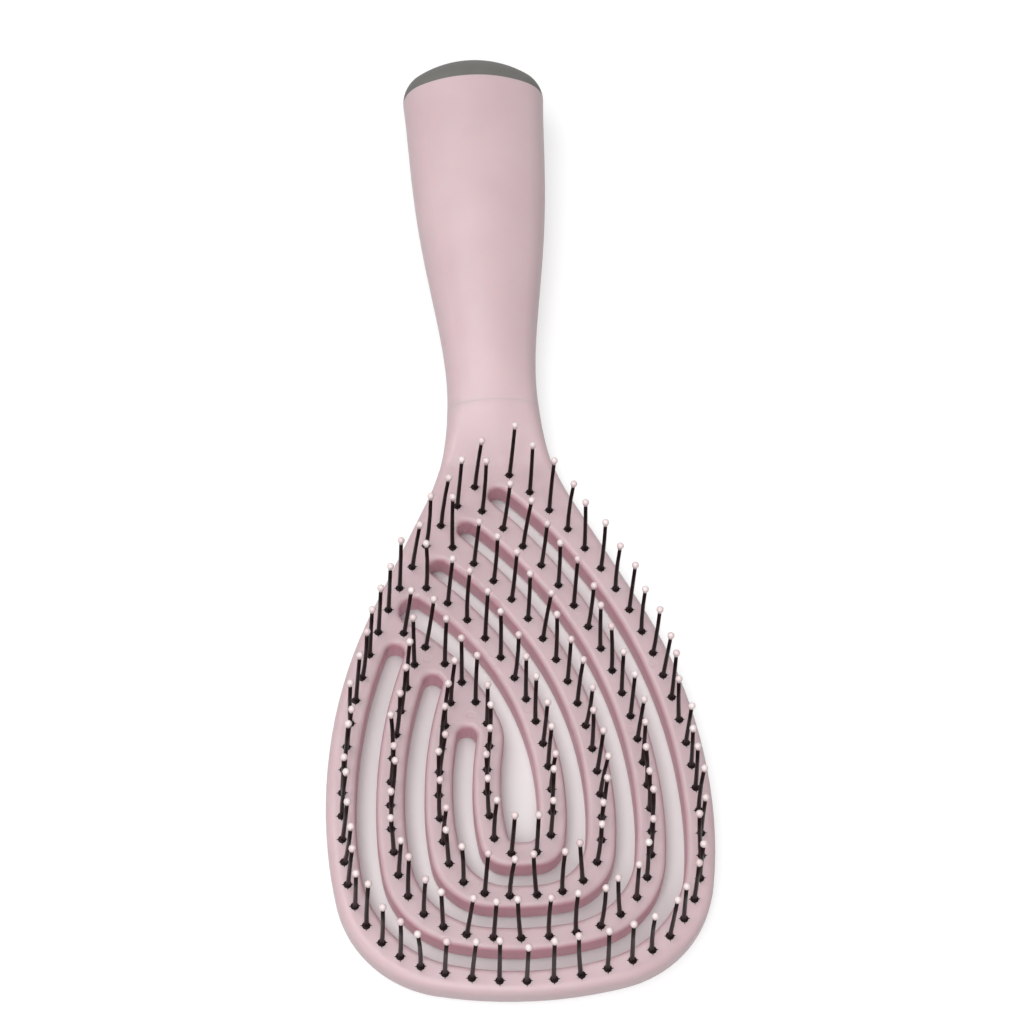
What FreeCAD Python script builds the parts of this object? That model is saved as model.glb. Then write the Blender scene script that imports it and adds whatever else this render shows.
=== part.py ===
import FreeCAD, Part
import math
import os

# Detangling hair brush, lying on its back with the pins up.
# Lengths are in millimetres, angles in degrees. While modelling, y runs from the head end (0) to the foot,
# x across the brush, and z up from the surface that it lies on. The export centres the brush along y.

# Head outline, from the middle of the head end round one side to the neck
head_end_radius = 91.0
head_end_turn = 11.8
head_corner_radius = 24.4
head_corner_turn = 67.6
lower_side_radius = 97.4
upper_side_radius = 112.0
taper_angle = 25.3
neck_curve_radius = 60.0
neck_width = 20.4

# Head plate: a front shell welded on a back shell
plate_thickness = 6.0
back_thickness = 2.0
face_wall = 1.6
front_edge_radius = 2.0
back_edge_radius = 1.6
slot_edge_radius = 1.2

# Nested rows of pins, the outer row first. Their curves follow the head's outline, each by its own
# difference, and the rows share out evenly what lies between the outer row and the inner one.
row_side_inset = 3.19
row_end_inset = 2.45
row_widest_drop = 3.05
row_widest_step = 2.0
row_arm_radius_share = 0.1567
row_lower_radius_drop = 14.4
row_end_radius_drop = 29.0
row_corner_radius_drop = 0.4
inner_row_half_width = 6.53
inner_row_lower_length = 13.05
inner_row_corner_radius = 4.8
inner_bend_radius = 9.0
row_start_inset = 5.1
row_finish_inset = 4.6
outer_row_start = 20.0
outer_row_start_offset = 2.57
outer_row_finish = 22.8

# Open slots between the rows
slot_width = 4.0
slot_start_inset = 5.1
slot_finish_inset = 4.8

# Pins, their spacing and the soft strips that hold them
row_names = ("outer", "second", "third", "inner")
row_pin_counts = (56, 39, 30, 26)
corner_pitch = 4.5
neck_pitch = 6.7
end_pitch = 5.4
pin_root_diameter = 0.95
pin_tip_diameter = 0.78
pin_height = 18.0
pin_head_diameter = 2.0
pin_head_thickness = 1.0
pin_hole_diameter = 1.7
strip_hole_clearance = 0.05
strip_width = 3.2
strip_clearance = 0.2

# Ball tips
bead_diameter = 1.5
bead_collar_length = 0.45
bead_collar_wall = 0.08
bead_neck_angle = 60.0
bead_socket_depth = 0.8
bead_socket_clearance = 0.02

# Neck, from the plate to the joint with the handle
neck_start = 17.4
joint_before_neck_end = 3.4
neck_section_count = 5
neck_seat_step = 0.05

# Handle tube: oval sections, each with its width, thickness and the rise of its arched front and back
joint_thickness = 11.6
joint_lift = 0.3
joint_crown = 1.0
stem_length = 19.5
stem_width = 21.8
stem_thickness = 15.0
stem_lift = 0.3
stem_crown = 1.6
grip_length = 36.0
grip_width = 30.4
grip_thickness = 19.0
grip_lift = 0.4
grip_crown = 2.2
flare_length = 17.5
flare_width = 32.3
flare_thickness = 20.3
flare_lift = 0.6
flare_crown = 2.4
foot_length = 13.65
foot_width = 33.7
foot_thickness = 21.0
foot_lift = 0.7
foot_crown = 2.4
handle_side_flat = 0.4
tube_wall = 2.0

# Tang of the neck inside the tube, and the rounded foot cap with its flat end and its spigot
tang_length = 18.0
tang_wall = 1.6
tang_clearance = 0.12
cap_length = 8.0
cap_floor = 2.0
cap_edge_radius = 1.0
spigot_length = 10.0
spigot_wall = 1.8
spigot_clearance = 0.12

# Step along a row when its pins are placed, and how near two places count as the same
path_step = 0.1
same_height = 1e-6
same_place = 1e-3

Vector = FreeCAD.Vector


def on_circle(centre, radius, angle):
    """Point of a circle at an angle in radians."""
    return centre + Vector(radius * math.cos(angle), radius * math.sin(angle), 0)


def angle_to(centre, point):
    """Direction from a centre to a point, in radians."""
    return math.atan2(point.y - centre.y, point.x - centre.x)


def circles_meet(centre_a, radius_a, centre_b, radius_b, upper=True):
    """Upper or lower point where two circles cross."""
    span = centre_b - centre_a
    distance = span.Length
    along = (distance ** 2 + radius_a ** 2 - radius_b ** 2) / (2 * distance)
    across = math.sqrt(radius_a ** 2 - along ** 2)
    axis = span / distance
    side = Vector(-axis.y, axis.x, 0)
    points = [centre_a + axis * along + side * across, centre_a + axis * along - side * across]
    points.sort(key=lambda point: point.y)
    return points[1] if upper else points[0]


def mirrored(point):
    """The point on the other side of the brush's middle plane."""
    return Vector(-point.x, point.y, point.z)


def arc_edge(arc, side_shift=0.0):
    """Edge of an arc (centre, radius, start, end), moved to the left of its direction of travel."""
    centre, radius, start, end = arc
    turn = 1.0 if end < start else -1.0
    moved = radius + turn * side_shift
    points = [on_circle(centre, moved, angle) for angle in (start, (start + end) / 2, end)]
    return Part.Arc(*points).toShape()


def cap_edge(start, end, bulge):
    """Half circle from one point to another, on the side that the bulge direction points to."""
    middle = (start + end) / 2 + bulge * ((end - start).Length / 2)
    return Part.Arc(start, middle, end).toShape()


def heading(arc, at_end):
    """Unit direction of travel at an end of an arc."""
    centre, radius, start, end = arc
    angle = end if at_end else start
    turn = -1.0 if end < start else 1.0
    return Vector(-math.sin(angle) * turn, math.cos(angle) * turn, 0)


def band(arcs, width):
    """Flat face of one width along a chain of tangent arcs, with round ends."""
    left = [arc_edge(arc, width / 2) for arc in arcs]
    right = [arc_edge(arc, -width / 2) for arc in arcs]
    first_left = left[0].Vertexes[0].Point
    first_right = right[0].Vertexes[0].Point
    last_left = left[-1].Vertexes[-1].Point
    last_right = right[-1].Vertexes[-1].Point
    finish = cap_edge(last_left, last_right, heading(arcs[-1], True))
    begin = cap_edge(first_right, first_left, heading(arcs[0], False) * -1)
    return Part.Face(Part.Wire(Part.__sortEdges__(left + right + [finish, begin])))


# Outline of the head: tangent stretches, each turning on from the last


def head_outline():
    """Edges of one side of the outline, with its widest point, the neck end and the neck curve's centre."""
    corner_from = math.radians(head_end_turn)
    corner_to = math.radians(head_end_turn + head_corner_turn)
    taper = math.radians(taper_angle)
    end_centre = Vector(0, head_end_radius, 0)
    corner_start = on_circle(end_centre, head_end_radius, corner_from - math.pi / 2)
    corner_centre = corner_start + (end_centre - corner_start) * (head_corner_radius / head_end_radius)
    side_start = on_circle(corner_centre, head_corner_radius, corner_to - math.pi / 2)
    side_centre = side_start + (corner_centre - side_start) * (lower_side_radius / head_corner_radius)
    widest = side_centre + Vector(lower_side_radius, 0, 0)
    upper_centre = widest - Vector(upper_side_radius, 0, 0)
    taper_start = on_circle(upper_centre, upper_side_radius, taper)
    curve_reach = neck_curve_radius * (1 - math.cos(taper))
    taper_run = (taper_start.x - curve_reach - neck_width / 2) / math.sin(taper)
    taper_end = taper_start + Vector(-math.sin(taper), math.cos(taper), 0) * taper_run
    neck_end = taper_end + Vector(-curve_reach, neck_curve_radius * math.sin(taper), 0)
    neck_centre = neck_end + Vector(neck_curve_radius, 0, 0)
    arcs = [
        (end_centre, head_end_radius, -math.pi / 2, corner_from - math.pi / 2),
        (corner_centre, head_corner_radius, corner_from - math.pi / 2, corner_to - math.pi / 2),
        (side_centre, lower_side_radius, corner_to - math.pi / 2, 0.0),
        (upper_centre, upper_side_radius, 0.0, taper),
    ]
    edges = [arc_edge(arc) for arc in arcs]
    edges.append(Part.LineSegment(taper_start, taper_end).toShape())
    return edges, taper_end, widest, neck_end.y, neck_centre


outline_edges, taper_end, head_widest, neck_end, neck_centre = head_outline()
half_width = head_widest.x
plate_end = neck_end - neck_start
joint = neck_end - joint_before_neck_end


def neck_half_width(y):
    """Half width of the outline where its sides curve into the neck."""
    return neck_centre.x - math.sqrt(neck_curve_radius ** 2 - (neck_centre.y - y) ** 2)


def plate_face():
    """Face of the head inside its outline, cut straight across where the neck starts."""
    side = list(outline_edges)
    corner = Vector(neck_half_width(plate_end), plate_end, 0)
    curve = (neck_centre, neck_curve_radius, angle_to(neck_centre, taper_end), angle_to(neck_centre, corner))
    side.append(arc_edge(curve))
    other = [edge.mirror(Vector(0, 0, 0), Vector(1, 0, 0)) for edge in side]
    across = Part.LineSegment(corner, mirrored(corner)).toShape()
    return Part.Face(Part.Wire(Part.__sortEdges__(side + other + [across])))


# Nested loops: rows of pins at whole steps, slots half way between them

last_step = len(row_names) - 1
row_widest = head_widest.y - row_widest_drop
row_arm_reach = half_width - row_side_inset - outer_row_start_offset
row_arm_rise = neck_end - outer_row_start - row_widest
row_arm_radius = (row_arm_reach ** 2 + row_arm_rise ** 2) / (2 * row_arm_reach)
row_lower_radius = lower_side_radius - row_lower_radius_drop
row_end_radius = head_end_radius - row_end_radius_drop
row_corner_radius = head_corner_radius - row_corner_radius_drop
row_corner_radius_step = (row_corner_radius - inner_row_corner_radius) / last_step
row_side_pitch = (half_width - row_side_inset - inner_row_half_width) / last_step
inner_row_end = row_widest + row_widest_step * last_step - inner_row_lower_length
row_end_pitch = (inner_row_end - row_end_inset) / last_step


def arm_circle(step):
    """Centre and radius of the right arm's arc, at a number of row steps from the outer row."""
    widest = half_width - row_side_inset - row_side_pitch * step
    radius = row_arm_radius * (1 - row_arm_radius_share * step)
    return Vector(widest - radius, row_widest + row_widest_step * step, 0), radius


def spine_circle(inset):
    """Arc beside the outer row's left arm, where the inner arms start."""
    centre, radius = arm_circle(0)
    return mirrored(centre), radius - inset


def loop_arcs(step, start, finish):
    """Tangent arcs of one loop, down the right arm, round the head end and up the left arm.

    The loop goes from a point on the right arm's circle to a point on the left arm's circle.
    """
    arm_centre, arm_radius = arm_circle(step)
    lower_radius = row_lower_radius - row_side_pitch * step
    lower_centre = Vector(arm_centre.x + arm_radius - lower_radius, arm_centre.y, 0)
    end_centre = Vector(0, row_end_inset + row_end_pitch * step + row_end_radius, 0)
    corner_radius = row_corner_radius - row_corner_radius_step * step
    corner = circles_meet(
        lower_centre, lower_radius - corner_radius, end_centre, row_end_radius - corner_radius, upper=False
    )
    side_angle = angle_to(lower_centre, corner)
    end_angle = angle_to(end_centre, corner)
    finish_angle = angle_to(arm_centre, mirrored(finish))
    return [
        (arm_centre, arm_radius, angle_to(arm_centre, start), 0.0),
        (lower_centre, lower_radius, 0.0, side_angle),
        (corner, corner_radius, side_angle, end_angle),
        (end_centre, row_end_radius, end_angle, -math.pi - end_angle),
        (mirrored(corner), corner_radius, -math.pi - end_angle, -math.pi - side_angle),
        (mirrored(lower_centre), lower_radius, -math.pi - side_angle, -math.pi),
        (mirrored(arm_centre), arm_radius, -math.pi, -math.pi - finish_angle),
    ]


def arm_start(step, inset):
    """Point where a right arm leaves the spine."""
    return circles_meet(*arm_circle(step), *spine_circle(inset))


def arm_finish(step, inset):
    """Point where a left arm ends, below the inner row's last stretch."""
    arm_centre, arm_radius = arm_circle(step)
    last_centre, last_radius = arm_circle(last_step + 1)
    return circles_meet(mirrored(arm_centre), arm_radius, last_centre, last_radius - inset)


def outer_row_arcs():
    """The outer row, all round the rim."""
    centre, radius = arm_circle(0)
    ends = []
    for below_neck in (outer_row_start, outer_row_finish):
        rise = neck_end - below_neck - centre.y
        ends.append(on_circle(centre, radius, math.asin(rise / radius)))
    return loop_arcs(0, ends[0], mirrored(ends[1]))


def middle_row_arcs(step):
    """A row that starts and ends inside the outer one."""
    return loop_arcs(step, arm_start(step, row_start_inset), arm_finish(step, row_finish_inset))


def inner_row_arcs(inset):
    """The innermost row, whose left arm bends over and runs back up to the spine."""
    arm_centre, arm_radius = arm_circle(last_step)
    left_centre = mirrored(arm_centre)
    last_centre, last_radius = arm_circle(last_step + 1)
    bend = circles_meet(
        left_centre, arm_radius + inner_bend_radius, last_centre, last_radius - inner_bend_radius
    )
    bend_start = left_centre + (bend - left_centre) * (arm_radius / (bend - left_centre).Length)
    bend_from = angle_to(bend, left_centre)
    bend_to = angle_to(last_centre, bend)
    arcs = loop_arcs(last_step, arm_start(last_step, inset), bend_start)
    arcs.append((bend, inner_bend_radius, bend_from, bend_to))
    finish = arm_start(last_step + 1, inset)
    arcs.append((last_centre, last_radius, bend_to, angle_to(last_centre, finish)))
    return arcs


def row_arcs(row):
    """Path of a row of pins, by its number from the rim."""
    if row == 0:
        return outer_row_arcs()
    if row < last_step:
        return middle_row_arcs(row)
    return inner_row_arcs(row_start_inset)


def slot_faces():
    """Faces of the open slots: three bent bands, and the pocket that the innermost row goes round."""
    faces = []
    for row in range(last_step):
        step = row + 0.5
        start = arm_start(step, slot_start_inset)
        faces.append(band(loop_arcs(step, start, arm_finish(step, slot_finish_inset)), slot_width))
    half_rib = (row_side_pitch - slot_width) / 2
    arcs = inner_row_arcs(slot_start_inset)
    walls = [arc_edge(arc, -half_rib) for arc in arcs]
    begin = walls[0].Vertexes[0].Point
    finish = walls[-1].Vertexes[-1].Point
    walls.append(cap_edge(finish, begin, heading(arcs[0], False) * -1))
    faces.append(Part.Face(Part.Wire(Part.__sortEdges__(walls))))
    return faces


# Places of the pins along a row


def pin_places(arcs, count):
    """Points along a row, closer at the head's corners than at the neck and across the head end."""
    samples = []
    travelled = 0.0
    for arc in arcs:
        centre, radius, start, end = arc
        steps = max(2, int(abs(end - start) * radius / path_step))
        length = abs(end - start) * radius / steps
        for index in range(steps):
            point = on_circle(centre, radius, start + (end - start) * (index + 0.5) / steps)
            pitch = corner_pitch + (neck_pitch - corner_pitch) * point.y / neck_end
            if radius == row_end_radius:
                pitch = end_pitch
            travelled += length / pitch
            samples.append((travelled, point))
    places = [on_circle(arcs[0][0], arcs[0][1], arcs[0][2])]
    number = 1
    for reached, point in samples:
        if number < count - 1 and reached >= travelled * number / (count - 1):
            places.append(point)
            number += 1
    places.append(on_circle(arcs[-1][0], arcs[-1][1], arcs[-1][3]))
    return places


# Sections across the neck and the handle


def arch_turn(reach, corner, crown):
    """Degrees by which an arch over two corners cuts their rounding short.

    The arch touches both corners, whose centres lie at plus and minus the reach. Its top is higher than theirs
    by the crown, which gives its radius.
    """
    if crown == 0:
        return 0.0
    radius = (reach ** 2 + (corner + crown) ** 2 - corner ** 2) / (2 * crown)
    return math.degrees(math.asin(reach / (radius - corner)))


def section(y, half, low, high, corner_front, corner_back, crown=0.0, stretch=1.0):
    """Closed wire across the brush at y: rounded corners, straight sides, front and back arched by a crown."""
    front_x = half - corner_front * stretch
    back_x = half - corner_back * stretch
    front_z = high - crown - corner_front
    back_z = low + crown + corner_back
    front_turn = arch_turn(front_x, corner_front, crown)
    back_turn = arch_turn(back_x, corner_back, crown)
    corners = [
        (back_x, back_z, corner_back, back_turn - 90, 0),
        (front_x, front_z, corner_front, 0, 90 - front_turn),
        (-front_x, front_z, corner_front, 90 + front_turn, 180),
        (-back_x, back_z, corner_back, 180, 270 - back_turn),
    ]
    arcs = []
    for x, z, radius, start, end in corners:
        points = []
        for angle in (start, (start + end) / 2, end):
            turn = math.radians(angle)
            points.append(Vector(x + radius * stretch * math.cos(turn), y, z + radius * math.sin(turn)))
        arcs.append(Part.Arc(*points).toShape())
    arch_tops = (None, high, None, low)
    edges = []
    for index, arc in enumerate(arcs):
        start = arc.Vertexes[-1].Point
        end = arcs[(index + 1) % len(arcs)].Vertexes[0].Point
        edges.append(arc)
        if crown and arch_tops[index] is not None:
            edges.append(Part.Arc(start, Vector(0, y, arch_tops[index]), end).toShape())
        else:
            edges.append(Part.LineSegment(start, end).toShape())
    return Part.Wire(edges)


stem = joint + stem_length
grip = stem + grip_length
flare = grip + flare_length
tube_end = flare + foot_length
brush_length = tube_end + cap_length


def side_corner(thickness, crown):
    """Corner radius that leaves only the narrow flat on an oval section's sides."""
    return (thickness - handle_side_flat) / 2 - crown


def handle_sections(inset):
    """Sections of the handle from the joint to the foot, drawn in by an inset."""
    stations = [
        (joint, 2 * neck_half_width(joint), joint_lift, joint_thickness, joint_crown),
        (stem, stem_width, stem_lift, stem_thickness, stem_crown),
        (grip, grip_width, grip_lift, grip_thickness, grip_crown),
        (flare, flare_width, flare_lift, flare_thickness, flare_crown),
        (tube_end, foot_width, foot_lift, foot_thickness, foot_crown),
    ]
    wires = []
    for y, width, lift, thickness, crown in stations:
        corner = side_corner(thickness, crown) - inset
        low = lift + inset
        high = lift + thickness - inset
        wires.append(section(y, width / 2 - inset, low, high, corner, corner, crown))
    return wires


def handle_core(inset):
    """Solid of the handle from the joint to the foot, drawn in by an inset."""
    return Part.makeLoft(handle_sections(inset), True)


def slice_along(shape, start, end):
    """The stretch of a handle solid between two places along the brush."""
    width = 2 * foot_width
    box = Part.makeBox(2 * width, end - start, 2 * width, Vector(-width, start, -width))
    return shape.common(box)


def neck_solid():
    """The neck, from the plate's section at its end to the handle's section at the joint."""
    wires = []
    joint_corner = side_corner(joint_thickness, joint_crown)
    for index in range(neck_section_count):
        share = index / (neck_section_count - 1)
        blend = share * share * (3 - 2 * share)
        y = plate_end + (joint - plate_end) * share
        seat = neck_seat_step * (1 - share)
        low = seat + joint_lift * blend
        high = plate_thickness - seat + (joint_lift + joint_thickness - plate_thickness) * blend
        front = front_edge_radius + (joint_corner - front_edge_radius) * blend
        back = back_edge_radius + (joint_corner - back_edge_radius) * blend
        slant = math.asin((neck_centre.y - y) / neck_curve_radius)
        stretch = 1 + (1 / math.cos(slant) - 1) * (1 - share)
        wires.append(section(y, neck_half_width(y) - seat, low, high, front, back, joint_crown * blend, stretch))
    return Part.makeLoft(wires, True)


# Pieces


def edges_at(shape, height):
    """Edges that lie flat at a height, apart from the one where the plate is cut for the neck."""
    found = []
    for edge in shape.Edges:
        box = edge.BoundBox
        flat = abs(box.ZMin - height) < same_height and abs(box.ZMax - height) < same_height
        if flat and box.YMin < plate_end - same_height:
            found.append(edge)
    return found


def rounded_plate(low, high, edge_height, rim_radius, slots):
    """A shell of the head between two heights, with its rim and slot edges rounded at one of them."""
    face = plate_face().cut(Part.makeCompound(slots))
    plate = face.extrude(Vector(0, 0, high - low))
    plate.translate(Vector(0, 0, low))
    plate = plate.Solids[0]
    for radius, on_rim in ((rim_radius, True), (slot_edge_radius, False)):
        rim = plate_face().OuterWire
        rim.translate(Vector(0, 0, edge_height))
        chosen = []
        for edge in edges_at(plate, edge_height):
            middle = edge.valueAt((edge.FirstParameter + edge.LastParameter) / 2)
            near_rim = rim.distToShape(Part.Vertex(middle))[0] < same_place
            if near_rim == on_rim:
                chosen.append(edge)
        plate = plate.makeFillet(radius, chosen)
    return plate


def upright(face, low, high):
    """A flat face made into a block between two heights."""
    block = face.extrude(Vector(0, 0, high - low))
    block.translate(Vector(0, 0, low))
    return block


def posts(places, radius, low, high):
    """Round posts or bores at the pins' places."""
    shapes = []
    for place in places:
        shapes.append(Part.makeCylinder(radius, high - low, place + Vector(0, 0, low)))
    return Part.makeCompound(shapes)


face_underside = plate_thickness - face_wall
strip_bottom = back_thickness + pin_head_thickness


def make_front_shell(rows, places):
    """Front of the head with the neck and its tang, open underneath for the strips."""
    plate = rounded_plate(back_thickness, plate_thickness, plate_thickness, front_edge_radius, slot_faces())
    tang_outer = handle_core(tube_wall + tang_clearance)
    tang = tang_outer.cut(handle_core(tube_wall + tang_clearance + tang_wall))
    tang = slice_along(tang, joint, joint + tang_length)
    shell = plate.fuse([neck_solid(), tang])
    channels = []
    for arcs in rows:
        channel = band(arcs, strip_width + 2 * strip_clearance)
        channels.append(upright(channel, back_thickness, face_underside))
    shell = shell.cut(channels)
    holes = []
    for row in places:
        holes.append(posts(row, pin_hole_diameter / 2, face_underside, plate_thickness))
    return shell.cut(holes)


def make_back_shell():
    """Back of the head, a plate with the same slots."""
    return rounded_plate(0.0, back_thickness, 0.0, back_edge_radius, slot_faces())


def make_strip(arcs, places):
    """Soft strip under the face, with a hole for each pin."""
    block = upright(band(arcs, strip_width), strip_bottom, face_underside)
    hole_radius = pin_root_diameter / 2 + strip_hole_clearance
    return block.cut(posts(places, hole_radius, strip_bottom, face_underside))


def make_pin():
    """One pin: a flat head under the strip and a shank that thins to its tip."""
    head = Part.makeCylinder(pin_head_diameter / 2, pin_head_thickness, Vector(0, 0, back_thickness))
    shank_length = plate_thickness + pin_height - strip_bottom
    shank = Part.makeCone(pin_root_diameter / 2, pin_tip_diameter / 2, shank_length)
    shank.translate(Vector(0, 0, strip_bottom))
    return head.fuse(shank).removeSplitter()


def make_bead():
    """One ball tip with a short collar, bored for the end of the pin."""
    tip = plate_thickness + pin_height
    socket = pin_tip_diameter / 2 + bead_socket_clearance
    collar = socket + bead_collar_wall
    ball = bead_diameter / 2
    centre = tip - bead_socket_depth + bead_collar_length + math.sqrt(ball ** 2 - collar ** 2)
    shape = Part.makeSphere(ball, Vector(0, 0, centre))
    spread = math.radians(bead_neck_angle)
    rise = centre - ball * math.cos(spread) - tip + bead_socket_depth
    neck = Part.makeCone(collar, ball * math.sin(spread), rise)
    neck.translate(Vector(0, 0, tip - bead_socket_depth))
    bore = Part.makeCylinder(socket, bead_socket_depth, Vector(0, 0, tip - bead_socket_depth))
    return shape.fuse(neck).cut(bore)


def copies(shape, places):
    """The same small piece at each place."""
    return Part.makeCompound([shape.translated(place) for place in places])


def make_handle_tube():
    """Hollow handle, open at both ends."""
    return handle_core(0.0).cut(handle_core(tube_wall))


def foot_dome(inset, length):
    """Round end of the handle, drawn in by an inset and cut flat at a length from the tube.

    It is half the foot's section, turned half round its long axis.
    """
    middle = Vector(0, tube_end, foot_lift + foot_thickness / 2)
    width = 2 * foot_width
    upper = Part.makeBox(2 * width, 2 * width, width, middle - Vector(width, width, 0))
    half_section = Part.Face(handle_sections(inset)[-1]).common(upper).Faces[0]
    return slice_along(half_section.revolve(middle, Vector(-1, 0, 0), 180), tube_end, tube_end + length)


def make_foot_cap():
    """Hollow rounded end cap that the brush can stand on, with a spigot inside the tube."""
    outer = tube_wall + spigot_clearance
    inner = outer + spigot_wall
    cap = foot_dome(0.0, cap_length).Solids[0]
    flat_edges = [edge for edge in cap.Edges if edge.BoundBox.YMin > brush_length - same_height]
    cap = cap.makeFillet(cap_edge_radius, flat_edges)
    cap = cap.cut(foot_dome(inner, cap_length - cap_floor))
    spigot = handle_core(outer).cut(handle_core(inner))
    return cap.fuse(slice_along(spigot, tube_end - spigot_length, tube_end))


def export(shape, name):
    """Write one piece, with the brush centred along its length."""
    moved = shape.copy()
    moved.translate(Vector(0, -brush_length / 2, 0))
    moved.exportStep("parts/" + name + ".step")
    state = "valid" if moved.isValid() else "not valid"
    print(name, len(moved.Solids), "solids", round(moved.Volume, 1), "mm3", state)


os.makedirs("parts", exist_ok=True)
rows = [row_arcs(row) for row in range(len(row_names))]
places = [pin_places(arcs, count) for arcs, count in zip(rows, row_pin_counts)]
print("length", round(brush_length, 2), "head width", round(2 * half_width, 2), "joint at", round(joint, 2))
export(make_front_shell(rows, places), "front_shell")
export(make_back_shell(), "back_shell")
export(make_handle_tube(), "handle_tube")
export(make_foot_cap(), "foot_cap")
pin = make_pin()
bead = make_bead()
for name, arcs, spots in zip(row_names, rows, places):
    export(make_strip(arcs, spots), "pin_strip_" + name)
    export(copies(pin, spots), "pins_" + name)
    export(copies(bead, spots), "tip_beads_" + name)
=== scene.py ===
# %% [markdown]
# # A detangling hair brush
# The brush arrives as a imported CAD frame: two shells of the head, the handle, its cap, the soft strips under the
# face, and rows of pins with ball tips. The frame stays where it is. Every later step gives it its looks.

# %% Load the frame
import math

import bpy
import numpy as np
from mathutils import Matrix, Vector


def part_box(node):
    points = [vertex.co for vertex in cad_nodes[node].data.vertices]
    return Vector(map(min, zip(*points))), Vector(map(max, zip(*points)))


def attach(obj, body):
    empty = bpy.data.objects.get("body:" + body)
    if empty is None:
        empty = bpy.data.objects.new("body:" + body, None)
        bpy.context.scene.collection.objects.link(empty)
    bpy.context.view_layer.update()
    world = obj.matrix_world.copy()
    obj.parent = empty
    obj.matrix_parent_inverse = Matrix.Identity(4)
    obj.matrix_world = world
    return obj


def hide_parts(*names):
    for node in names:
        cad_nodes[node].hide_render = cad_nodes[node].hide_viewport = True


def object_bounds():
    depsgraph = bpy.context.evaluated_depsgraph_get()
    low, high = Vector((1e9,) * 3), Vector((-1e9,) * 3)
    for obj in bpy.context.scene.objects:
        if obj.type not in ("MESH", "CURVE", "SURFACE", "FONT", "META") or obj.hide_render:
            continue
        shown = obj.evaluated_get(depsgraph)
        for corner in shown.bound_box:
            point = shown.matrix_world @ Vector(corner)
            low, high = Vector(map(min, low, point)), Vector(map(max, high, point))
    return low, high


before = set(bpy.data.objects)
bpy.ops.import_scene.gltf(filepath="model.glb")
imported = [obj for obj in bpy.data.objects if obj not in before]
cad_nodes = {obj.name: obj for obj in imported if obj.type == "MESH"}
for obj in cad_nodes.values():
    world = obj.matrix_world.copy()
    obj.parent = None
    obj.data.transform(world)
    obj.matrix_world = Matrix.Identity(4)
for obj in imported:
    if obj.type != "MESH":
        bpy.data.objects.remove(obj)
cad_low, cad_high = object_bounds()
row_names = ("outer", "second", "third", "inner")
mm = 0.001
print("CAD nodes:", len(cad_nodes), "size in mm:", [round((b - a) / mm, 2) for a, b in zip(cad_low, cad_high)])

# %% [markdown]
# ## The camera
# The brush lies on its back with the head towards us. The camera looks down at it from beyond the head end with
# a long lens, so that the handle recedes only a little. A camera looks along its own -Z, and the three turns below
# tip it up from straight down.

# %% Camera
camera_place = (-29.25 * mm, -282.67 * mm, 447.24 * mm)
camera_turn = (32.25, -1.93, -3.5)
camera_lens = 84.375
camera_sensor = 36.0

camera_data = bpy.data.cameras.new("long_lens")
camera_data.lens = camera_lens
camera_data.sensor_width = camera_sensor
camera = bpy.data.objects.new("long_lens", camera_data)
camera.location = camera_place
camera.rotation_euler = [math.radians(angle) for angle in camera_turn]
bpy.context.scene.collection.objects.link(camera)
bpy.context.scene.camera = camera
print("camera", round(camera.location.length / mm), "mm from the middle of the brush")

# %% [markdown]
# ## Helpers for shader nodes
# A finish is a small network of shader nodes. Three helpers keep the cells short: one adds a node with its
# settings and inputs, one starts a material with its Principled shader, and one starts a group.


# %% Node helpers
def add_node(tree, kind, inputs=None, **settings):
    """A new node with its settings, and its inputs either set to a value or linked from an output socket."""
    node = tree.nodes.new(kind)
    for name, value in settings.items():
        setattr(node, name, value)
    for name, value in (inputs or {}).items():
        if isinstance(value, bpy.types.NodeSocket):
            tree.links.new(value, node.inputs[name])
        else:
            node.inputs[name].default_value = value
    return node


def start_material(name):
    """A material with a Principled shader on its output. Returns it with its shader and Object coordinates."""
    material = bpy.data.materials.new(name)
    material.use_nodes = True
    tree = material.node_tree
    tree.nodes.clear()
    shader = add_node(tree, "ShaderNodeBsdfPrincipled")
    add_node(tree, "ShaderNodeOutputMaterial", {"Surface": shader.outputs["BSDF"]})
    place = add_node(tree, "ShaderNodeTexCoord").outputs["Object"]
    return material, shader, place


def start_group(name, inputs, outputs):
    """A shader node group with named float or vector sockets. Returns it with its input and output nodes."""
    group = bpy.data.node_groups.new(name, "ShaderNodeTree")
    for label, kind in inputs.items():
        group.interface.new_socket(label, in_out="INPUT", socket_type="NodeSocket" + kind)
    for label, kind in outputs.items():
        group.interface.new_socket(label, in_out="OUTPUT", socket_type="NodeSocket" + kind)
    return group, add_node(group, "NodeGroupInput"), add_node(group, "NodeGroupOutput")


# %% [markdown]
# ## Moulded skin
# Injection-moulded plastic is never one flat colour. The melt flows into the mould and leaves cloudy patches a
# centimetre or two across, and the mould's matt finish prints a fine grain of a few tenths of a millimetre.
# Every plastic here has both, each at its own size, so they make one group with two outputs: Cloud and Grain.

# %% Moulded skin group
cloud_detail = 3.0
grain_detail = 2.0

moulded_skin, skin_in, skin_out = start_group(
    "moulded_skin",
    {"Vector": "Vector", "Cloud Size": "Float", "Grain Size": "Float"},
    {"Cloud": "Float", "Grain": "Float"},
)


def noise_of_size(label, detail):
    """Noise with blobs about as large as a size input of the group: its scale is one over that size."""
    scale = add_node(moulded_skin, "ShaderNodeMath", {0: 1.0, 1: skin_in.outputs[label]}, operation="DIVIDE")
    inputs = {"Vector": skin_in.outputs["Vector"], "Scale": scale.outputs[0], "Detail": detail}
    return add_node(moulded_skin, "ShaderNodeTexNoise", inputs).outputs["Fac"]


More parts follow.
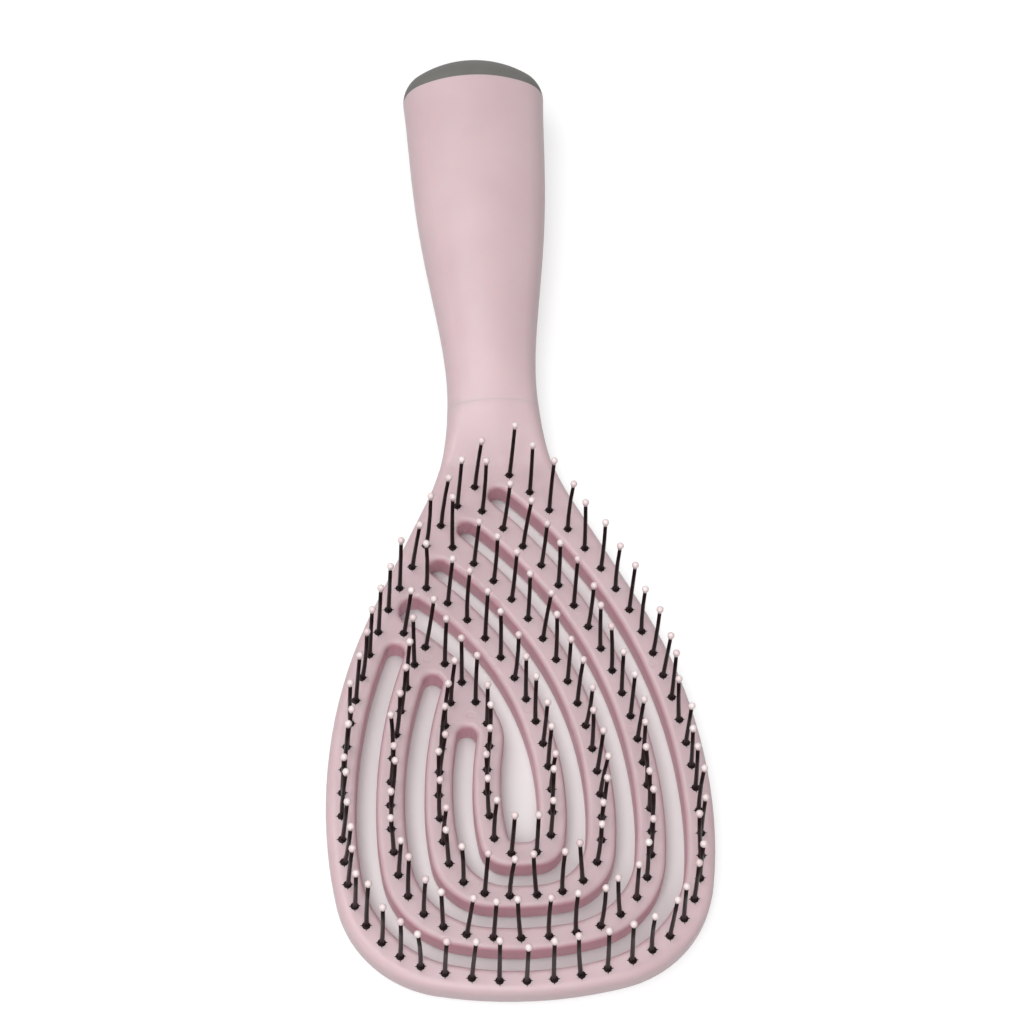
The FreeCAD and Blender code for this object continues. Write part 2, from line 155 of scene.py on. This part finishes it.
moulded_skin.links.new(noise_of_size("Cloud Size", cloud_detail), skin_out.inputs["Cloud"])
moulded_skin.links.new(noise_of_size("Grain Size", grain_detail), skin_out.inputs["Grain"])
print("group", moulded_skin.name, "gives", [socket.name for socket in skin_out.inputs if socket.name])


# %% [markdown]
# ## Inside the rim, and the painted shade of the slots
# Light that gets in between two ribs goes from one pink side to the other and loses some green and blue each time,
# so the sides of the slots look deeper than the face. That shade is painted into their colour. A group gives two
# masks for it: one within the head's rim, and one where a surface inside the rim is also upright, which carries the
# painted shade. The rim's half width changes along the head, so it is a ramp over the distance from the head end,
# drawn in a few millimetres.

# %% Head masks group
head_end = cad_low.y
slots_reach = 120 * mm
widest_inside = 35 * mm
rim_shares = (0.03, 0.04, 0.1, 0.25, 0.42, 0.625, 0.98, 1.0)
rim_half_widths = (0.0, 20.0, 30.0, 35.0, 35.0, 29.5, 9.5, 0.0)
mask_edge = 0.5 * mm
level_facing = 0.85
upright_facing = 0.25

head_masks, _, masks_out = start_group("head_masks", {}, {"Inside": "Float", "Painted Shade": "Float"})
surface = add_node(head_masks, "ShaderNodeTexCoord")
split = add_node(head_masks, "ShaderNodeSeparateXYZ", {0: surface.outputs["Object"]})
facing = add_node(head_masks, "ShaderNodeSeparateXYZ", {0: surface.outputs["Normal"]})


def masks_math(operation, *values):
    """Result of a Math node in the group."""
    return add_node(head_masks, "ShaderNodeMath", dict(enumerate(values)), operation=operation).outputs[0]


def masks_range(value, low, high):
    """Zero below one value, one above another, even in between."""
    limits = {"Value": value, "From Min": low, "From Max": high}
    return add_node(head_masks, "ShaderNodeMapRange", limits).outputs["Result"]


along_head = masks_range(split.outputs["Y"], head_end, head_end + slots_reach)
ramp = add_node(head_masks, "ShaderNodeValToRGB", {"Fac": along_head})
stops = ramp.color_ramp.elements
while len(stops) < len(rim_shares):
    stops.new(1.0)
for stop, share, half_width in zip(stops, rim_shares, rim_half_widths):
    stop.position = share
    stop.color = [half_width * mm / widest_inside] * 3 + [1.0]
rim_at = masks_math("MULTIPLY", ramp.outputs["Color"], widest_inside)
depth_inside = masks_math("SUBTRACT", rim_at, masks_math("ABSOLUTE", split.outputs["X"]))
inside = masks_range(depth_inside, 0.0, mask_edge)
# Upright surfaces inside the rim: where the painted shade of the slots goes.
steep = masks_range(masks_math("ABSOLUTE", facing.outputs["Z"]), level_facing, upright_facing)
head_masks.links.new(inside, masks_out.inputs["Inside"])
head_masks.links.new(masks_math("MULTIPLY", inside, steep), masks_out.inputs["Painted Shade"])
print("group", head_masks.name, "reaches", round(slots_reach / mm), "mm from the head end")

# %% [markdown]
# ## Plastics
# All the plastics of the brush are the same recipe with other numbers: a cloudy mix of two near colours, a
# roughness that follows the clouds, and a bump from the grain. A function writes the recipe once. The values that
# are the same all over, such as the gloss level, go straight onto the shader. Inputs 0, 6 and 7 of a Mix node are
# its share and its two colours, and output 2 is the mixed colour.

# %% Plastic recipe
cloud_stops = (0.3, 0.7)


def moulded_plastic(
    name, deep, pale, roughness, cloud_size, grain_size, grain_depth, wall=None, height=None, **constants
):
    """A plastic between two colours and two roughness values, with a fine bump.

    A third colour, if given, is painted shade on the upright sides of the slots, and another height lies under the
    bump.
    """
    material, shader, place = start_material(name)
    tree = material.node_tree
    sizes = {"Vector": place, "Cloud Size": cloud_size, "Grain Size": grain_size}
    skin = add_node(tree, "ShaderNodeGroup", sizes, node_tree=moulded_skin)
    tint = add_node(tree, "ShaderNodeValToRGB", {"Fac": skin.outputs["Cloud"]})
    for stop, place_on_ramp, colour in zip(tint.color_ramp.elements, cloud_stops, (deep, pale)):
        stop.position = place_on_ramp
        stop.color = (*colour, 1.0)
    gloss = add_node(tree, "ShaderNodeMapRange", {"Value": skin.outputs["Cloud"]})
    gloss.inputs["To Min"].default_value, gloss.inputs["To Max"].default_value = roughness
    bump = add_node(tree, "ShaderNodeBump", {"Height": skin.outputs["Grain"], "Distance": grain_depth})
    if height:
        under = add_node(tree, "ShaderNodeGroup", {"Vector": place}, node_tree=height)
        dent = add_node(tree, "ShaderNodeBump", {"Height": under.outputs["Height"], "Distance": mm})
        tree.links.new(dent.outputs["Normal"], bump.inputs["Normal"])
    colour = tint.outputs["Color"]
    # Painted shade: a deeper colour on upright surfaces between the ribs stands for the light lost there.
    if wall:
        mask = add_node(tree, "ShaderNodeGroup", node_tree=head_masks).outputs["Painted Shade"]
        colour = add_node(tree, "ShaderNodeMix", {0: mask, 6: colour, 7: (*wall, 1.0)}, data_type="RGBA").outputs[2]
    tree.links.new(colour, shader.inputs["Base Color"])
    tree.links.new(gloss.outputs["Result"], shader.inputs["Roughness"])
    tree.links.new(bump.outputs["Normal"], shader.inputs["Normal"])
    for label, value in constants.items():
        shader.inputs[label.replace("_", " ")].default_value = value
    return material


# %% [markdown]
# ## Marks of the mould's pins
# The steel pins that push the shell out of its mould leave faint round marks on the ribs: shallow dishes about two
# millimetres across with a soft edge. Modelling them would need a much finer mesh, so they are a height for the
# bump: the distance to the nearest mark, turned into a soft step at the mark's radius.

# %% Ejector marks group
mark_places = (
    (-17.3, -41.0), (-9.0, -54.5), (3.8, -33.8), (14.3, -32.0), (29.8, -44.2), (2.8, -53.7), (23.7, -59.5)
)
mark_radius = 1.0 * mm
mark_edge = 0.25 * mm
mark_depth = 0.05

ejector_marks, marks_in, marks_out = start_group("ejector_marks", {"Vector": "Vector"}, {"Height": "Float"})
split = add_node(ejector_marks, "ShaderNodeSeparateXYZ", {0: marks_in.outputs[0]})
level = add_node(ejector_marks, "ShaderNodeCombineXYZ", {"X": split.outputs["X"], "Y": split.outputs["Y"]})
nearest = None
for x, y in mark_places:
    spot = {0: level.outputs[0], 1: (x * mm, y * mm, 0.0)}
    away = add_node(ejector_marks, "ShaderNodeVectorMath", spot, operation="DISTANCE").outputs["Value"]
    if nearest:
        away = add_node(ejector_marks, "ShaderNodeMath", {0: nearest, 1: away}, operation="MINIMUM").outputs[0]
    nearest = away
rim = {"Value": nearest, "From Min": mark_radius - mark_edge, "From Max": mark_radius, "To Max": mark_depth}
step = add_node(ejector_marks, "ShaderNodeMapRange", rim, interpolation_type="SMOOTHSTEP")
ejector_marks.links.new(step.outputs["Result"], marks_out.inputs["Height"])
print("ejector marks:", len(mark_places))

# %% [markdown]
# ## The finishes
# The shells and the handle are a dusty pink with a satin surface. The cap is a warm dark grey, duller. The strips
# under the face are matt black rubber, which only shows as black spots in the pin holes. The nylon pins are nearly
# black with a soft sheen, and their ball tips are pale pink and smooth.

# %% Materials
pink = {
    "deep": (0.58, 0.425, 0.449),
    "pale": (0.62, 0.465, 0.487),
    # Painted shade between the ribs: a deeper pink laid on the upright sides of the slots.
    "wall": (0.6, 0.325, 0.38),
    "roughness": (0.34, 0.46),
    "cloud_size": 18 * mm,
    "grain_size": 0.28 * mm,
    "grain_depth": 0.012 * mm,
    "Subsurface_Weight": 0.3,
    "Subsurface_Radius": (1.0, 0.35, 0.4),
    "Subsurface_Scale": 2.0 * mm,
}
finishes = {
    "face": moulded_plastic("dusty_pink_face", height=ejector_marks, **pink),
    "pink": moulded_plastic("dusty_pink", **pink),
    "cap": moulded_plastic(
        "warm_grey_cap", (0.115, 0.11, 0.102), (0.145, 0.14, 0.13), (0.55, 0.68), 9 * mm, 0.2 * mm, 0.02 * mm
    ),
    "strip": moulded_plastic(
        "black_strip", (0.005, 0.004, 0.004), (0.01, 0.008, 0.008), (0.7, 0.85), 4 * mm, 0.2 * mm, 0.02 * mm
    ),
    "pin": moulded_plastic(
        "black_nylon", (0.009, 0.003, 0.0035), (0.018, 0.008, 0.008), (0.3, 0.45), 3 * mm, 0.15 * mm, 0.008 * mm,
        Specular_IOR_Level=0.1,
    ),
    "bead": moulded_plastic(
        "pale_bead", (0.71, 0.55, 0.56), (0.84, 0.74, 0.73), (0.22, 0.34), 6 * mm, 0.2 * mm, 0.004 * mm
    ),
}
node_finish = {"front_shell": "face", "back_shell": "pink", "handle_tube": "pink", "foot_cap": "cap"}
node_finish.update({"pin_strip_" + row: "strip" for row in row_names})
for node, finish in node_finish.items():
    cad_nodes[node].data.materials.clear()
    cad_nodes[node].data.materials.append(finishes[finish])
print("finishes:", [material.name for material in finishes.values()])

# %% [markdown]
# ## Where the pins stand
# The CAD pins are straight and upright, but nylon pins lean and bow a little, each its own way. New pins replace
# them at the same places. Each place is read from the frame: the topmost points of a row fall into clusters less
# than a millimetre across, one for each pin, and the mean of a cluster is the middle of its pin.

# %% Pin places
cluster_size = 1.0 * mm
top_layer = 0.01 * mm


def pin_places(node):
    """Middle of each pin: the mean of the node's topmost points within a millimetre of one another."""
    mesh = cad_nodes[node].data
    points = np.empty(len(mesh.vertices) * 3, np.float32)
    mesh.vertices.foreach_get("co", points)
    points = points.reshape(-1, 3).astype(float)
    tips = points[points[:, 2] > points[:, 2].max() - top_layer]
    near = np.linalg.norm(tips[:, None, :2] - tips[None, :, :2], axis=2) < cluster_size
    middles = near @ tips[:, :2] / near.sum(axis=1, keepdims=True)
    return np.unique(middles.round(7), axis=0)


places = {row: pin_places("pins_" + row) for row in row_names}
print("pins by row:", {row: len(spots) for row, spots in places.items()})

# %% [markdown]
# ## How they lean
# Pins at the sides lean in towards the middle by about three degrees, those near the neck lean to the right and
# those at the head end to the left, and each pin has a few degrees of its own. That last part should look random
# but come out the same on every run, so it is a sum of sine waves that are shorter than the pins' spacing.

# %% Lean of the pins
head_half_width = 40 * mm
head_middle = -60.25 * mm
head_half_length = 60 * mm
inward_lean = 3.35
neck_lean = 1.6
upward_lean = 0.6
own_lean = 3.2
own_bow = 0.012
lean_x_waves = ((1.9, 3.1), (2.7, -1.3))
lean_y_waves = ((2.3, -2.9), (1.7, 2.1))
bow_x_waves = ((3.7, 1.1), (-1.9, 2.3))
bow_y_waves = ((1.3, -3.3), (2.9, 1.9))


def waver(spots, waves):
    """Values from -1 to 1: the mean of two sine waves across the head.

    Each wave is a column of the table: its turn in radians for a millimetre in x, and for one in y.
    """
    return np.sin(spots / mm @ np.array(waves)).mean(axis=1)


def lean_and_bow(spots):
    """Slope of each pin in x and y, and its bow: how far its middle stands aside, as a share of its length."""
    across = spots[:, 0] / head_half_width
    along = (spots[:, 1] - head_middle) / head_half_length
    lean_x = neck_lean * along - inward_lean * across + own_lean * waver(spots, lean_x_waves)
    lean_y = upward_lean * along + own_lean * waver(spots, lean_y_waves)
    bow_x = own_bow * waver(spots, bow_x_waves)
    bow_y = own_bow * waver(spots, bow_y_waves)
    slope = np.tan(np.radians(np.stack([lean_x, lean_y], axis=1)))
    return slope, np.stack([bow_x, bow_y], axis=1)


slopes = np.concatenate([lean_and_bow(spots)[0] for spots in places.values()])
print("lean in degrees, rms:", np.degrees(np.sqrt((slopes ** 2).mean(axis=0))).round(1))

# %% [markdown]
# ## Rings along a line
# A pin and a ball tip are both rings of points strung along a line: only the radii differ. One function makes all
# the pieces of a row as whole arrays, with each piece's rings square to its own axis. A pin has a few dozen faces,
# because there are many of them.


# %% Rings into meshes
def rings_along(lines, axes, radii):
    """Points and faces of closed pieces, one for each line of ring centres.

    A point is its ring's centre plus its own radius, from a table of rings by sides, times the cosine and sine of
    its turn along two directions square to the piece's axis. Quads join each ring to the next, and flat faces close
    both ends.
    """
    sides = radii.shape[1]
    turn = np.arange(sides) * 2 * np.pi / sides
    first = np.cross([0.0, 1.0, 0.0], axes)
    first /= np.linalg.norm(first, axis=1, keepdims=True)
    second = np.cross(axes, first)
    circle = np.cos(turn)[:, None] * first[:, None, :] + np.sin(turn)[:, None] * second[:, None, :]
    points = lines[:, :, None, :] + radii[None, :, :, None] * circle[:, None, :, :]
    pieces, rings = lines.shape[:2]
    index = np.arange(pieces * rings * sides).reshape(pieces, rings, sides)
    after = np.roll(index, -1, axis=2)
    quads = np.stack([index[:, :-1], after[:, :-1], after[:, 1:], index[:, 1:]], axis=-1)
    ends = np.concatenate([index[:, 0, ::-1], index[:, -1]])
    return points.reshape(-1, 3), quads.reshape(-1, 4).tolist() + ends.tolist()


def new_piece(name, points, faces, finish):
    """A smooth mesh object at the origin with one finish."""
    mesh = bpy.data.meshes.new(name)
    mesh.from_pydata(points.tolist(), [], faces)
    mesh.shade_smooth()
    mesh.materials.append(finishes[finish])
    piece = bpy.data.objects.new(name, mesh)
    bpy.context.scene.collection.objects.link(piece)
    return piece


# %% [markdown]
# ## Pins
# A pin starts as a flat head between the back shell and the strip, passes through the strip and its hole in the
# face, and thins to the tip. The heights come from the frame's boxes. The line of a pin goes sideways with its lean,
# and its bow is a parabola that is zero at both ends. Where it leaves the face, a flat black collar lies over the
# hole: partly the soft black strip that shows in the hole, partly painted shade inside it. The collar runs out into
# four short points, which are painted shadows of the pin on the face, so in its lower ring the first radius of each
# quarter is longer.

# %% Nylon pins
head_bottom, pin_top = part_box("pins_outer")[0].z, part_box("pins_outer")[1].z
head_top, strip_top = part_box("pin_strip_outer")[0].z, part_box("pin_strip_outer")[1].z
face_thickness = 1.6 * mm
face_top = strip_top + face_thickness
pin_length = pin_top - strip_top
pin_head_radius = 1.0 * mm
pin_root_radius = 0.475 * mm
pin_tip_radius = 0.39 * mm
# A black disc over each hole, partly the black strip seen there and partly painted shade in it; its four longer
# radii are painted shadows of the pin on the face.
collar_and_shadow_heights = face_top + np.array([0.02, 0.1]) * mm
quarter_radii_with_shadow_points = np.array([[1.25] + [0.8] * 8, [0.6] * 9]) * mm
painted_shadow_points = 4
pin_sides = 8
shank_shares = np.linspace(0.0, 1.0, 4)

ring_heights = np.concatenate([[head_bottom, head_top, head_top], strip_top + pin_length * shank_shares])
shank_radii = pin_root_radius + (pin_tip_radius - pin_root_radius) * shank_shares
ring_radii = np.concatenate([[pin_head_radius, pin_head_radius, pin_root_radius], shank_radii])
ring_radii = np.repeat(ring_radii[:, None], pin_sides, axis=1)
collar_and_shadow_radii = np.tile(quarter_radii_with_shadow_points, (1, painted_shadow_points))


def pin_lines(spots, heights):
    """Centres of a pin's rings: sideways by the slope times the height, plus a parabola for the bow."""
    slope, bow = lean_and_bow(spots)
    share = np.clip((heights - strip_top) / pin_length, 0.0, None)[None, :, None]
    aside = pin_length * (slope[:, None, :] * share + 4 * bow[:, None, :] * share * (1 - share))
    level = np.broadcast_to(heights[None, :, None], (len(spots), len(heights), 1))
    return np.concatenate([spots[:, None, :] + aside, level], axis=2)


def unit(vectors):
    """Vectors divided by their lengths."""
    return vectors / np.linalg.norm(vectors, axis=-1, keepdims=True)


for row, spots in places.items():
    lines = pin_lines(spots, ring_heights)
    points, faces = rings_along(lines, unit(lines[:, -1] - lines[:, 2]), ring_radii)
    # The collar with its painted shadow points lies flat on the face around each pin.
    level = np.broadcast_to(collar_and_shadow_heights[None, :, None], (len(spots), len(collar_and_shadow_heights), 1))
    upright = np.broadcast_to([0.0, 0.0, 1.0], (len(spots), 3))
    middles = np.repeat(spots[:, None, :], len(collar_and_shadow_heights), axis=1)
    collar_and_shadow_vertices, collar_and_shadow_faces = rings_along(np.concatenate([middles, level], axis=2), upright, collar_and_shadow_radii)
    faces += [[index + len(points) for index in face] for face in collar_and_shadow_faces]
    pins = new_piece("nylon_pins_" + row, np.concatenate([points, collar_and_shadow_vertices]), faces, "pin")
    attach(pins, "root")
    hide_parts("pins_" + row)
    print(pins.name, len(spots), "pins,", len(pins.data.polygons) // len(spots), "faces each")

# %% [markdown]
# ## Ball tips
# A drop of resin on the end of each pin keeps it from scratching: a ball with a short neck that runs down onto the
# shank. The rings follow the ball from the neck to near its top, at even angles seen from its middle, and each tip
# sits square on the end of its own leaning pin.

# %% Ball tips
ball_radius = 0.75 * mm
ball_middle = cad_high.z - ball_radius
neck_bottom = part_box("tip_beads_outer")[0].z
neck_radius = 0.48 * mm
ball_sides = 10
ball_angles = np.radians([52, 78, 104, 130, 154, 170])

ball_rises = np.concatenate([[neck_bottom - pin_top], ball_middle - pin_top - ball_radius * np.cos(ball_angles)])
ball_radii = np.concatenate([[neck_radius], ball_radius * np.sin(ball_angles)])
ball_radii = np.repeat(ball_radii[:, None], ball_sides, axis=1)
end_heights = pin_top + np.array([-1.0, 0.0]) * mm

for row, spots in places.items():
    ends = pin_lines(spots, end_heights)
    axes = unit(ends[:, 1] - ends[:, 0])
    lines = ends[:, 1:] + ball_rises[None, :, None] * axes[:, None, :]
    tips = new_piece("ball_tips_" + row, *rings_along(lines, axes, ball_radii), "bead")
    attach(tips, "root")
    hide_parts("tip_beads_" + row)
    print(tips.name, len(spots), "tips,", len(tips.data.polygons) // len(spots), "faces each")

# %% [markdown]
# ## The floor
# The brush lies on a plain table that takes its shadow. In the open the table throws back only half of the light, so
# that the sides of the handle keep their shade, and it also gives off some white, which only the camera and
# reflections see. That glow rises with the distance, because the lamps reach less far, so that the table's edge
# doesn't show. Under the head it is a plain pale white without the glow, so in the slots, where less light gets in,
# it looks a soft grey. The mask of the rim tells the two apart.

# %% Floor
floor_half_size = 0.6
floor_gap = 0.05 * mm
floor_open = (0.45, 0.445, 0.445)
floor_under_head = (0.79, 0.78, 0.78)
near_glow = 0.6
far_glow = 0.8
near_distance = 0.2
far_distance = 0.5

corners = [(-1, -1), (1, -1), (1, 1), (-1, 1)]
floor_mesh = bpy.data.meshes.new("table")
floor_mesh.from_pydata([(x * floor_half_size, y * floor_half_size, -floor_gap) for x, y in corners], [], [range(4)])
floor = bpy.data.objects.new("table", floor_mesh)
bpy.context.scene.collection.objects.link(floor)


def seen_not_lit(tree):
    """One where a ray comes from the camera, a reflection or through glass, and zero for light that bounces."""
    rays = add_node(tree, "ShaderNodeLightPath")
    seen = rays.outputs["Is Camera Ray"]
    for label in ("Is Glossy Ray", "Is Transmission Ray"):
        seen = add_node(tree, "ShaderNodeMath", {0: seen, 1: rays.outputs[label]}, operation="MAXIMUM").outputs[0]
    return seen


table_white = bpy.data.materials.new("table_white")
table_white.use_nodes = True
tree = table_white.node_tree
tree.nodes.clear()
under_head = add_node(tree, "ShaderNodeGroup", node_tree=head_masks).outputs["Inside"]
colours = {0: under_head, 6: (*floor_open, 1.0), 7: (*floor_under_head, 1.0)}
colour = add_node(tree, "ShaderNodeMix", colours, data_type="RGBA").outputs[2]
matt = add_node(tree, "ShaderNodeBsdfDiffuse", {"Color": colour})
place = add_node(tree, "ShaderNodeTexCoord").outputs["Object"]
away = add_node(tree, "ShaderNodeVectorMath", {0: place}, operation="LENGTH").outputs["Value"]
rise = {"Value": away, "From Min": near_distance, "From Max": far_distance, "To Min": near_glow, "To Max": far_glow}
open_glow = add_node(tree, "ShaderNodeMapRange", rise).outputs["Result"]
level = add_node(tree, "ShaderNodeMapRange", {"Value": under_head, "To Min": open_glow, "To Max": 0.0})
share = {0: seen_not_lit(tree), 1: level.outputs["Result"]}
share = add_node(tree, "ShaderNodeMath", share, operation="MULTIPLY")
glow = add_node(tree, "ShaderNodeEmission", {"Strength": share.outputs[0]})
both = add_node(tree, "ShaderNodeAddShader", {0: matt.outputs[0], 1: glow.outputs[0]})
add_node(tree, "ShaderNodeOutputMaterial", {"Surface": both.outputs[0]})
floor_mesh.materials.append(table_white)
print("table at", round(-floor_gap / mm, 2), "mm")

# %% [markdown]
# ## Light
# A product table: soft light from all round, with a large soft box above on the left, so that the right side of the
# handle falls into a gentle shade, and a weaker one in front, which draws a light line along the rounded edges that
# face us. The levels add up to a little over one on a surface that faces up.

# %% Lights
sky_strength = 0.28
soft_boxes = {
    "upper_left_soft_box": ((-0.42, 0.15, 1.25), 1.0, 10.3),
    "front_soft_box": ((-0.1, -0.62, 0.75), 0.6, 5.3),
}

world = bpy.data.worlds.new("studio")
bpy.context.scene.world = world
world.use_nodes = True
tree = world.node_tree
tree.nodes.clear()
sky = add_node(tree, "ShaderNodeBackground", {"Strength": sky_strength})
white = add_node(tree, "ShaderNodeBackground", {"Strength": 1.0})
for shader in (sky, white):
    shader.inputs["Color"].default_value = (1.0, 1.0, 1.0, 1.0)
mixed = add_node(tree, "ShaderNodeMixShader", {0: seen_not_lit(tree), 1: sky.outputs[0], 2: white.outputs[0]})
add_node(tree, "ShaderNodeOutputWorld", {"Surface": mixed.outputs[0]})

for name, (place, size, power) in soft_boxes.items():
    data = bpy.data.lights.new(name, "AREA")
    data.size = size
    data.energy = power
    lamp = bpy.data.objects.new(name, data)
    lamp.location = place
    lamp.rotation_euler = (-lamp.location).to_track_quat("-Z", "Y").to_euler()
    bpy.context.scene.collection.objects.link(lamp)
bpy.context.scene.view_settings.view_transform = "Standard"
print("lamps:", list(soft_boxes))
